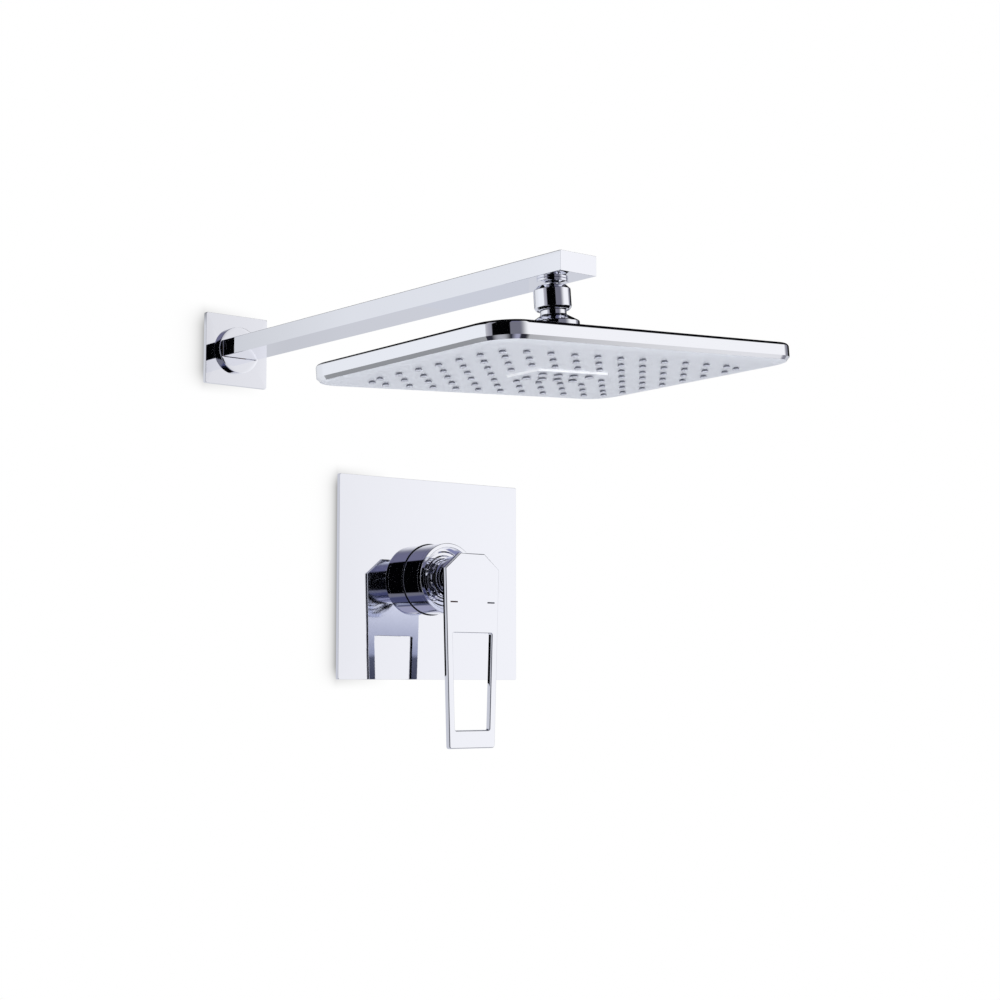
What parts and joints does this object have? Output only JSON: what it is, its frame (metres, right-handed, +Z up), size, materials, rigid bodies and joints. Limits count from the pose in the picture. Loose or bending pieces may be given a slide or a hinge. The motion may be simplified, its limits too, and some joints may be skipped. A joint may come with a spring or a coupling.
{
  "type": "concealed shower mixer with rain head",
  "caption": "Concealed single-lever shower mixer with a square trim plate, and a flat wall arm that carries an oblong rain head on a ball swivel.",
  "frame": {"origin": "axis of the arm's threaded tail at the finished wall's face", "axes": "+Y into the wall, +Z up, +X to the right as seen from the room; the room is on the -Y side"},
  "size_m": [0.3905, 0.5089, 0.3185],
  "materials": {
    "chrome": "polished chrome plate",
    "brass": "turned or cast brass",
    "steel": "stainless steel",
    "spray_plastic": "chrome-look plastic",
    "plastic": "moulded acetal",
    "dark_plastic": "black glass-filled plastic",
    "silicone": "pale silicone",
    "rubber": "black sealing rubber",
    "foam": "closed-cell foam",
    "ceramic": "lapped alumina ceramic",
    "red": "dark red enamel",
    "blue": "dark blue enamel"
  },
  "bodies": {
    "wall_unit": {"arm_bar": "chrome", "arm_tail": "brass", "arm_flange": "chrome", "flange_seal": "foam", "ball_stud": "chrome", "stud_seal": "rubber", "trim_plate": "chrome", "plate_seal": "foam", "plate_grip_ring": "rubber", "sleeve": "chrome", "bezel_ring": "chrome", "recess_cover": "chrome", "valve_body": "brass", "fixing_plate": "steel", "plate_screws": "steel", "outlet_plug": "brass", "sleeve_seal": "rubber", "cartridge_housing": "dark_plastic", "cartridge_base": "plastic", "base_seals": "rubber", "fixed_disc": "ceramic", "cartridge_nut": "brass"},
    "turner": {"rotor": "dark_plastic", "tilt_pin": "steel"},
    "lever": {"lever_stem": "steel", "handle_hub": "chrome", "handle": "chrome", "hub_screws": "steel", "grub_screw": "steel", "screw_cap": "chrome", "hot_mark": "red", "cold_mark": "blue"},
    "disc": {"moving_disc": "ceramic", "disc_driver": "dark_plastic"},
    "seat": {"ball_seat": "plastic"},
    "nut": {"swivel_nut": "chrome"},
    "head": {"head_hub": "chrome", "strainer": "steel", "hub_washer": "rubber", "head_shell": "chrome", "hub_backnut": "brass", "inlet_seal": "rubber", "chamber_cover": "plastic", "nozzle_mat": "silicone", "spray_face": "spray_plastic", "centre_panel": "spray_plastic", "face_screws": "steel"}
  },
  "joints": [
    {"name": "handle_turn", "type": "hinge", "parent": "wall_unit", "child": "turner", "pos_m": [0.18, -0.015, -0.162], "axis": [0, 1, 0], "range_deg": [-45, 45]},
    {"name": "handle_lift", "type": "hinge", "parent": "turner", "child": "lever", "pos_m": [0.18, -0.015, -0.162], "axis": [-1, 0, 0], "range_deg": [0, 22]},
    {"name": "disc_slide", "type": "slide", "parent": "turner", "child": "disc", "axis": [0, 0, -1], "range_m": [0, 0.00427]},
    {"name": "head_fore_tilt", "type": "hinge", "parent": "wall_unit", "child": "seat", "pos_m": [0, -0.3568, -0.018], "axis": [1, 0, 0], "range_deg": [-8.4, 11.6]},
    {"name": "head_side_tilt", "type": "hinge", "parent": "seat", "child": "nut", "pos_m": [0, -0.3568, -0.018], "axis": [0, 1, 0], "range_deg": [-6.3, 13.7]},
    {"name": "head_spin", "type": "hinge", "parent": "nut", "child": "head", "pos_m": [0, -0.3568, -0.018], "axis": [-0.0658, 0.0247, 0.9975], "continuous": true}
  ],
  "couplings": [
    {"joint": "disc_slide", "follows": "handle_lift", "m_per_rad": 0.011122}
  ]
}
